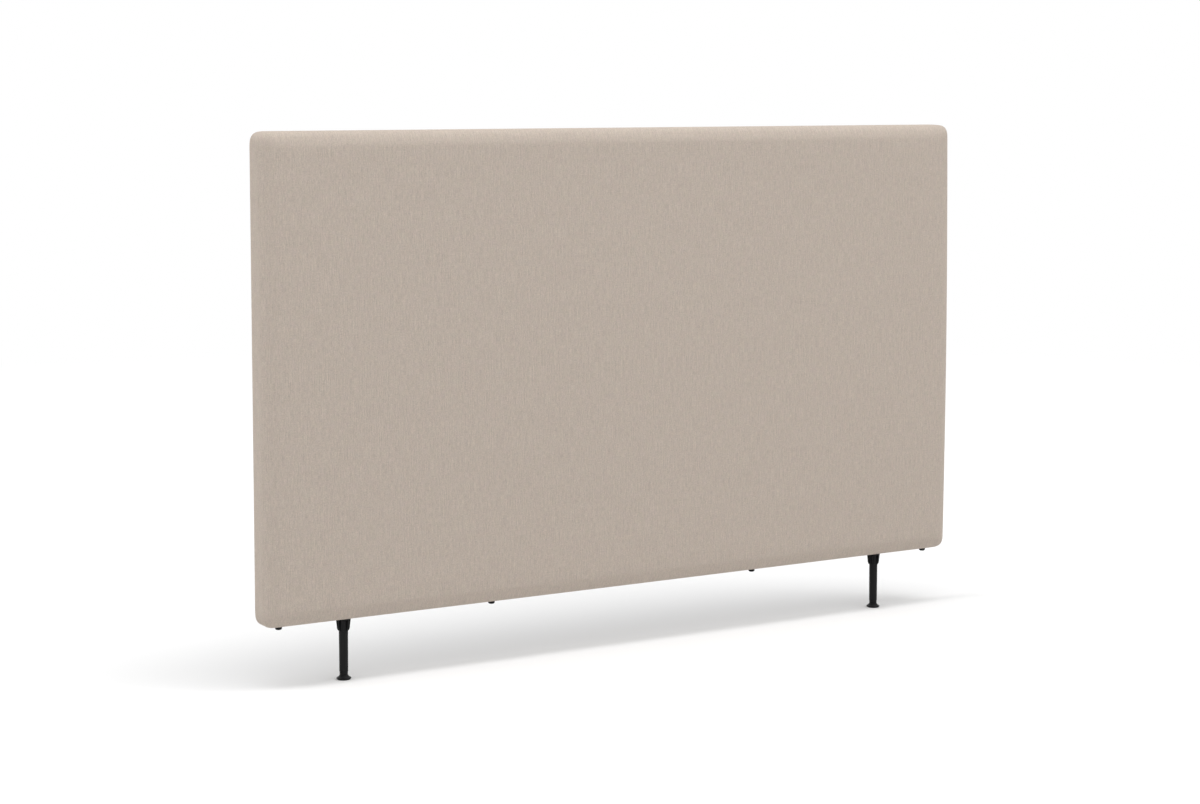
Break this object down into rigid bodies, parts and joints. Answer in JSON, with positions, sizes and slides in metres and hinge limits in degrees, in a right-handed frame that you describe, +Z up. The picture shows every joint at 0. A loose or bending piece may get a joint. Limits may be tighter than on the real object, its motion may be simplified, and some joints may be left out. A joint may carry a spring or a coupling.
{
  "type": "upholstered headboard",
  "caption": "Plain upholstered headboard with softly rounded edges, standing on slim moulded legs with levelling feet.",
  "frame": {"origin": "on the floor under the middle of the headboard's width and depth", "axes": "+X along the width to the right as seen from the front, +Y from the upholstered front to the back, +Z up"},
  "size_m": [1.8, 0.0692, 1.185],
  "materials": {
    "fabric_beige": "matt woven cloth with fine upright slubs",
    "wadding_white": "soft polyester wadding",
    "foam_cream": "open-celled foam",
    "lining_black": "thin non-woven lining",
    "hardboard": "smooth hardboard",
    "timber": "planed softwood",
    "staple_steel": "galvanised wire",
    "zinc_steel": "zinc plated",
    "plastic_black": "satin moulded plastic"
  },
  "bodies": {
    "panel": {"back_lining": "lining_black", "board_staples": "staple_steel", "cover_staples": "staple_steel", "fabric_cover": "fabric_beige", "foam_pad": "foam_cream", "foot_nuts": "zinc_steel", "frame_bottom_rail": "timber", "frame_stile_left": "timber", "frame_stile_right": "timber", "frame_top_rail": "timber", "frame_upright_centre": "timber", "frame_upright_left": "timber", "frame_upright_right": "timber", "front_board": "hardboard", "glide_pins": "zinc_steel", "glides": "plastic_black", "leg_inserts": "zinc_steel", "leg_left": "plastic_black", "leg_right": "plastic_black", "leg_studs": "zinc_steel", "lining_staples": "staple_steel", "wadding": "wadding_white"},
    "left_foot": {"foot_pad_left": "plastic_black"},
    "left_foot_screw": {"foot_stud_left": "zinc_steel", "foot_collar_left": "plastic_black"},
    "right_foot": {"foot_pad_right": "plastic_black"},
    "right_foot_screw": {"foot_stud_right": "zinc_steel", "foot_collar_right": "plastic_black"}
  },
  "joints": [
    {"name": "left_foot_height", "type": "slide", "parent": "panel", "child": "left_foot", "axis": [0, 0, -1], "range_m": [0, 0.012]},
    {"name": "left_foot_turn", "type": "hinge", "parent": "left_foot", "child": "left_foot_screw", "pos_m": [-0.705, 0.0136, 0.013], "axis": [0, 0, -1], "range_deg": [0, 3456]},
    {"name": "right_foot_height", "type": "slide", "parent": "panel", "child": "right_foot", "axis": [0, 0, -1], "range_m": [0, 0.012]},
    {"name": "right_foot_turn", "type": "hinge", "parent": "right_foot", "child": "right_foot_screw", "pos_m": [0.705, 0.0136, 0.013], "axis": [0, 0, -1], "range_deg": [0, 3456]}
  ],
  "couplings": [
    {"joint": "left_foot_turn", "follows": "left_foot_height", "rad_per_m": 5026.5},
    {"joint": "right_foot_turn", "follows": "right_foot_height", "rad_per_m": 5026.5}
  ]
}
